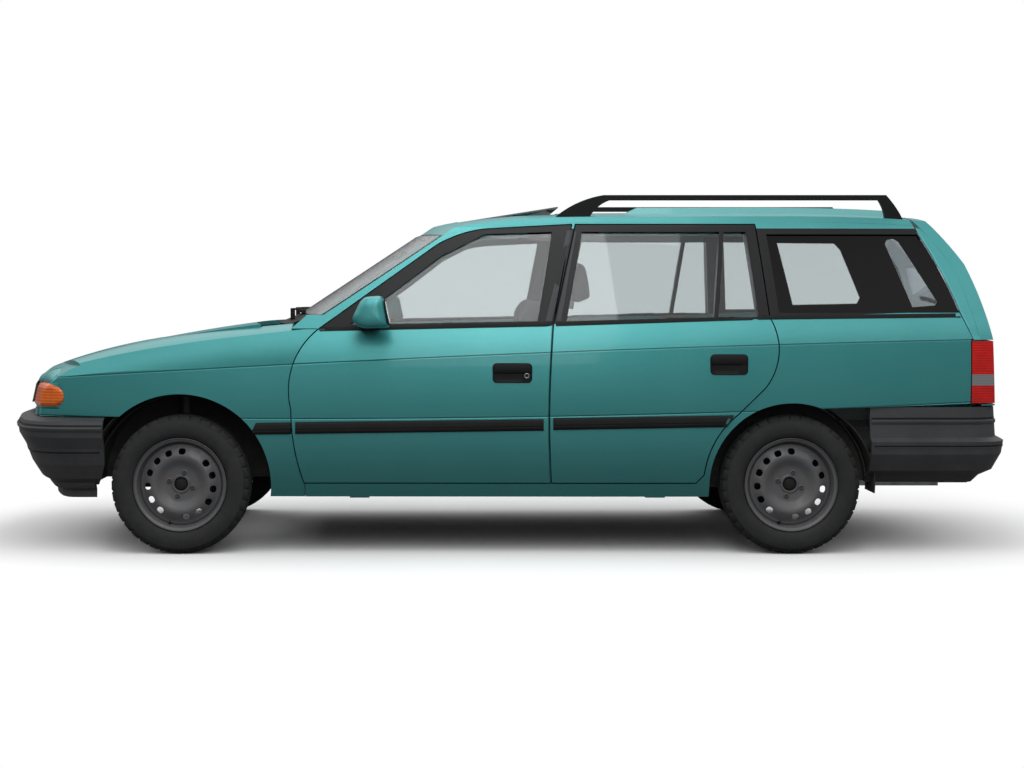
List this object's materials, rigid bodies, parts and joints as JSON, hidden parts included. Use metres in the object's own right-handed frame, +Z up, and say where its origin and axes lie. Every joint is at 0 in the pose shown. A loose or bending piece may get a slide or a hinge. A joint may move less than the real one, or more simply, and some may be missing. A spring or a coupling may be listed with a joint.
{
  "type": "station wagon",
  "caption": "Five-door estate car with raised roof rails, dark bumpers and steel wheels; doors, bonnet and tailgate open, wheels turn and steer.",
  "frame": {"origin": "centre of the car's outline on the ground", "axes": "+Z up, the car faces -Y, its left side is +X"},
  "size_m": [1.97, 4.2778, 1.4909],
  "materials": {
    "body_paint": "gloss metallic",
    "dark_plastic": "grained",
    "steel": "dull",
    "wheel_paint": "satin",
    "iron": "rough",
    "tyre": "matt",
    "glass": "clear",
    "lens_amber": "clear",
    "lens_red": "clear",
    "cloth": "woven"
  },
  "bodies": {
    "shell": {"dashboard": "dark_plastic", "engine": "iron", "exhaust": "steel", "floor_pan": "body_paint", "front_bumper": "dark_plastic", "front_panel": "body_paint", "front_seats": "cloth", "front_subframe": "steel", "front_wheelhouses": "body_paint", "front_wing_left": "body_paint", "front_wing_right": "body_paint", "grille": "dark_plastic", "head_lamps": "glass", "indicators": "lens_amber", "quarter_window_left": "glass", "quarter_window_right": "glass", "rear_axle": "steel", "rear_bumper": "dark_plastic", "rear_panel": "body_paint", "rear_seat": "cloth", "rear_wheelhouses": "body_paint", "roof_panel": "body_paint", "roof_rails": "dark_plastic", "scuttle_panel": "dark_plastic", "side_frame_left": "body_paint", "side_frame_right": "body_paint", "sunroof_panel": "glass", "tail_lamps": "lens_red", "windscreen": "glass", "wipers": "dark_plastic"},
    "front_door_left": {"front_door_left": "body_paint", "front_door_glass_left": "glass", "door_mirror_left": "body_paint"},
    "front_door_right": {"front_door_right": "body_paint", "front_door_glass_right": "glass", "door_mirror_right": "body_paint"},
    "rear_door_left": {"rear_door_left": "body_paint", "rear_door_glass_left": "glass"},
    "rear_door_right": {"rear_door_right": "body_paint", "rear_door_glass_right": "glass"},
    "bonnet": {"bonnet": "body_paint"},
    "tailgate": {"tailgate": "body_paint", "tailgate_glass": "glass"},
    "knuckle_left": {"knuckle_left": "iron"},
    "knuckle_right": {"knuckle_right": "iron"},
    "front_wheel_left": {"front_rim_left": "wheel_paint", "front_tyre_left": "tyre"},
    "front_wheel_right": {"front_rim_right": "wheel_paint", "front_tyre_right": "tyre"},
    "rear_wheel_left": {"rear_rim_left": "wheel_paint", "rear_tyre_left": "tyre"},
    "rear_wheel_right": {"rear_rim_right": "wheel_paint", "rear_tyre_right": "tyre"},
    "steering_wheel": {"steering_wheel": "dark_plastic"}
  },
  "joints": [
    {"name": "front_door_left_hinge", "type": "hinge", "parent": "shell", "child": "front_door_left", "pos_m": [0.832, -0.872, 0.6], "axis": [0, 0, -1], "range_deg": [0, 65]},
    {"name": "front_door_right_hinge", "type": "hinge", "parent": "shell", "child": "front_door_right", "pos_m": [-0.832, -0.872, 0.6], "axis": [0, 0, 1], "range_deg": [0, 65]},
    {"name": "rear_door_left_hinge", "type": "hinge", "parent": "shell", "child": "rear_door_left", "pos_m": [0.84, 0.178, 0.6], "axis": [0, 0, -1], "range_deg": [0, 70]},
    {"name": "rear_door_right_hinge", "type": "hinge", "parent": "shell", "child": "rear_door_right", "pos_m": [-0.84, 0.178, 0.6], "axis": [0, 0, 1], "range_deg": [0, 70]},
    {"name": "bonnet_hinge", "type": "hinge", "parent": "shell", "child": "bonnet", "pos_m": [0, -1.012, 0.962], "axis": [-1, 0, 0], "range_deg": [0, 60]},
    {"name": "tailgate_hinge", "type": "hinge", "parent": "shell", "child": "tailgate", "pos_m": [0, 1.69, 1.435], "axis": [1, 0, 0], "range_deg": [0, 85]},
    {"name": "steering_left", "type": "hinge", "parent": "shell", "child": "knuckle_left", "pos_m": [0.59, -1.339, 0.286], "axis": [0, 0, 1], "range_deg": [-33, 33]},
    {"name": "steering_right", "type": "hinge", "parent": "shell", "child": "knuckle_right", "pos_m": [-0.59, -1.339, 0.286], "axis": [0, 0, 1], "range_deg": [-33, 33]},
    {"name": "front_axle_left", "type": "hinge", "parent": "knuckle_left", "child": "front_wheel_left", "pos_m": [0.712, -1.339, 0.286], "axis": [1, 0, 0], "continuous": true},
    {"name": "front_axle_right", "type": "hinge", "parent": "knuckle_right", "child": "front_wheel_right", "pos_m": [-0.712, -1.339, 0.286], "axis": [1, 0, 0], "continuous": true},
    {"name": "rear_axle_left", "type": "hinge", "parent": "shell", "child": "rear_wheel_left", "pos_m": [0.712, 1.178, 0.286], "axis": [1, 0, 0], "continuous": true},
    {"name": "rear_axle_right", "type": "hinge", "parent": "shell", "child": "rear_wheel_right", "pos_m": [-0.712, 1.178, 0.286], "axis": [1, 0, 0], "continuous": true},
    {"name": "steering_wheel_turn", "type": "hinge", "parent": "shell", "child": "steering_wheel", "pos_m": [0.35, -0.48, 0.85], "axis": [0, 0.866, 0.5], "range_deg": [-495, 495]}
  ],
  "couplings": [
    {"joint": "steering_right", "follows": "steering_left", "ratio": 1},
    {"joint": "steering_wheel_turn", "follows": "steering_left", "ratio": 15}
  ]
}
